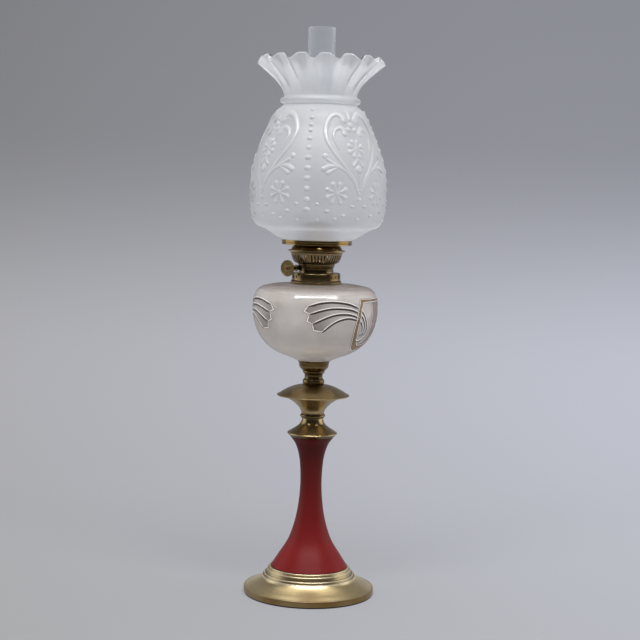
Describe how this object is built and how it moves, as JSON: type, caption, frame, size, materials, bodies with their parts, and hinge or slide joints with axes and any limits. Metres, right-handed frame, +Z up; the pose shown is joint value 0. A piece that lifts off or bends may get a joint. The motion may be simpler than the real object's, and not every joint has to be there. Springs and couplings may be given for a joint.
{
  "type": "kerosene table lamp",
  "caption": "Column lamp for kerosene with weighted brass foot, waisted red column, glass font, round-wick burner with winder, clear chimney and fluted embossed glass shade.",
  "frame": {"origin": "middle of the underside, on the axis of the column", "axes": "+Z up along the column, -Y towards the winder knob, parallel to its shaft"},
  "size_m": [0.1704, 0.1704, 0.7008],
  "materials": {
    "felt": "matt felt",
    "satin_brass": "satin, lightly worn",
    "cast_iron": "raw casting",
    "steel": "plain",
    "red_lacquer": "satin",
    "aged_brass": "polished, aged",
    "dark_brass": "darkened",
    "pearl_glass": "pearly translucent",
    "leather": "plain",
    "cotton": "woven",
    "clear_glass": "clear",
    "frosted_glass": "frosted"
  },
  "bodies": {
    "stand": {"base_felt": "felt", "foot": "satin_brass", "base_weight": "cast_iron", "rod_washer": "steel", "rod_nut": "steel", "tie_rod": "steel", "top_nut": "steel", "column": "red_lacquer", "column_cap": "aged_brass", "neck_bead": "dark_brass", "pan_trumpet": "aged_brass", "drip_pan": "aged_brass", "spool": "dark_brass", "font_cup": "dark_brass", "font": "pearl_glass", "font_shoulder": "pearl_glass", "font_collar": "dark_brass"},
    "gasket": {"collar_gasket": "leather"},
    "burner": {"burner_cap": "dark_brass", "burner_neck": "dark_brass", "air_basket": "dark_brass", "gallery": "dark_brass", "outer_wick_tube": "aged_brass", "draught_tube": "aged_brass", "shaft_gland": "aged_brass", "chimney_holder": "dark_brass", "shade_ring": "aged_brass"},
    "winder": {"winder_shaft": "dark_brass", "spur_wheel_near": "aged_brass", "spur_wheel_far": "aged_brass", "winder_knob": "aged_brass", "knob_rivet": "dark_brass"},
    "wick": {"wick": "cotton"},
    "chimney": {"chimney": "clear_glass"},
    "shade": {"shade": "frosted_glass", "shade_shoulder": "frosted_glass", "shade_mouth": "frosted_glass"}
  },
  "joints": [
    {"name": "burner_unscrew", "type": "hinge", "parent": "stand", "child": "gasket", "pos_m": [0, 0, 0.3925], "axis": [0, 0, 1], "range_deg": [0, 1080]},
    {"name": "burner_rise", "type": "slide", "parent": "gasket", "child": "burner", "axis": [0, 0, 1], "range_m": [0, 0.00541]},
    {"name": "winder_turn", "type": "hinge", "parent": "burner", "child": "winder", "pos_m": [-0.0157, 0, 0.4074], "axis": [0, -1, 0], "range_deg": [-214, 143]},
    {"name": "wick_feed", "type": "slide", "parent": "burner", "child": "wick", "axis": [0, 0, 1], "range_m": [-0.012, 0.008]},
    {"name": "chimney_lift", "type": "slide", "parent": "burner", "child": "chimney", "axis": [0, 0, 1], "range_m": [0, 0.24]},
    {"name": "shade_lift", "type": "slide", "parent": "burner", "child": "shade", "axis": [0, 0, 1], "range_m": [0, 0.27]}
  ],
  "couplings": [
    {"joint": "burner_rise", "follows": "burner_unscrew", "m_per_rad": 0.00028648},
    {"joint": "wick_feed", "follows": "winder_turn", "m_per_rad": 0.0032}
  ]
}
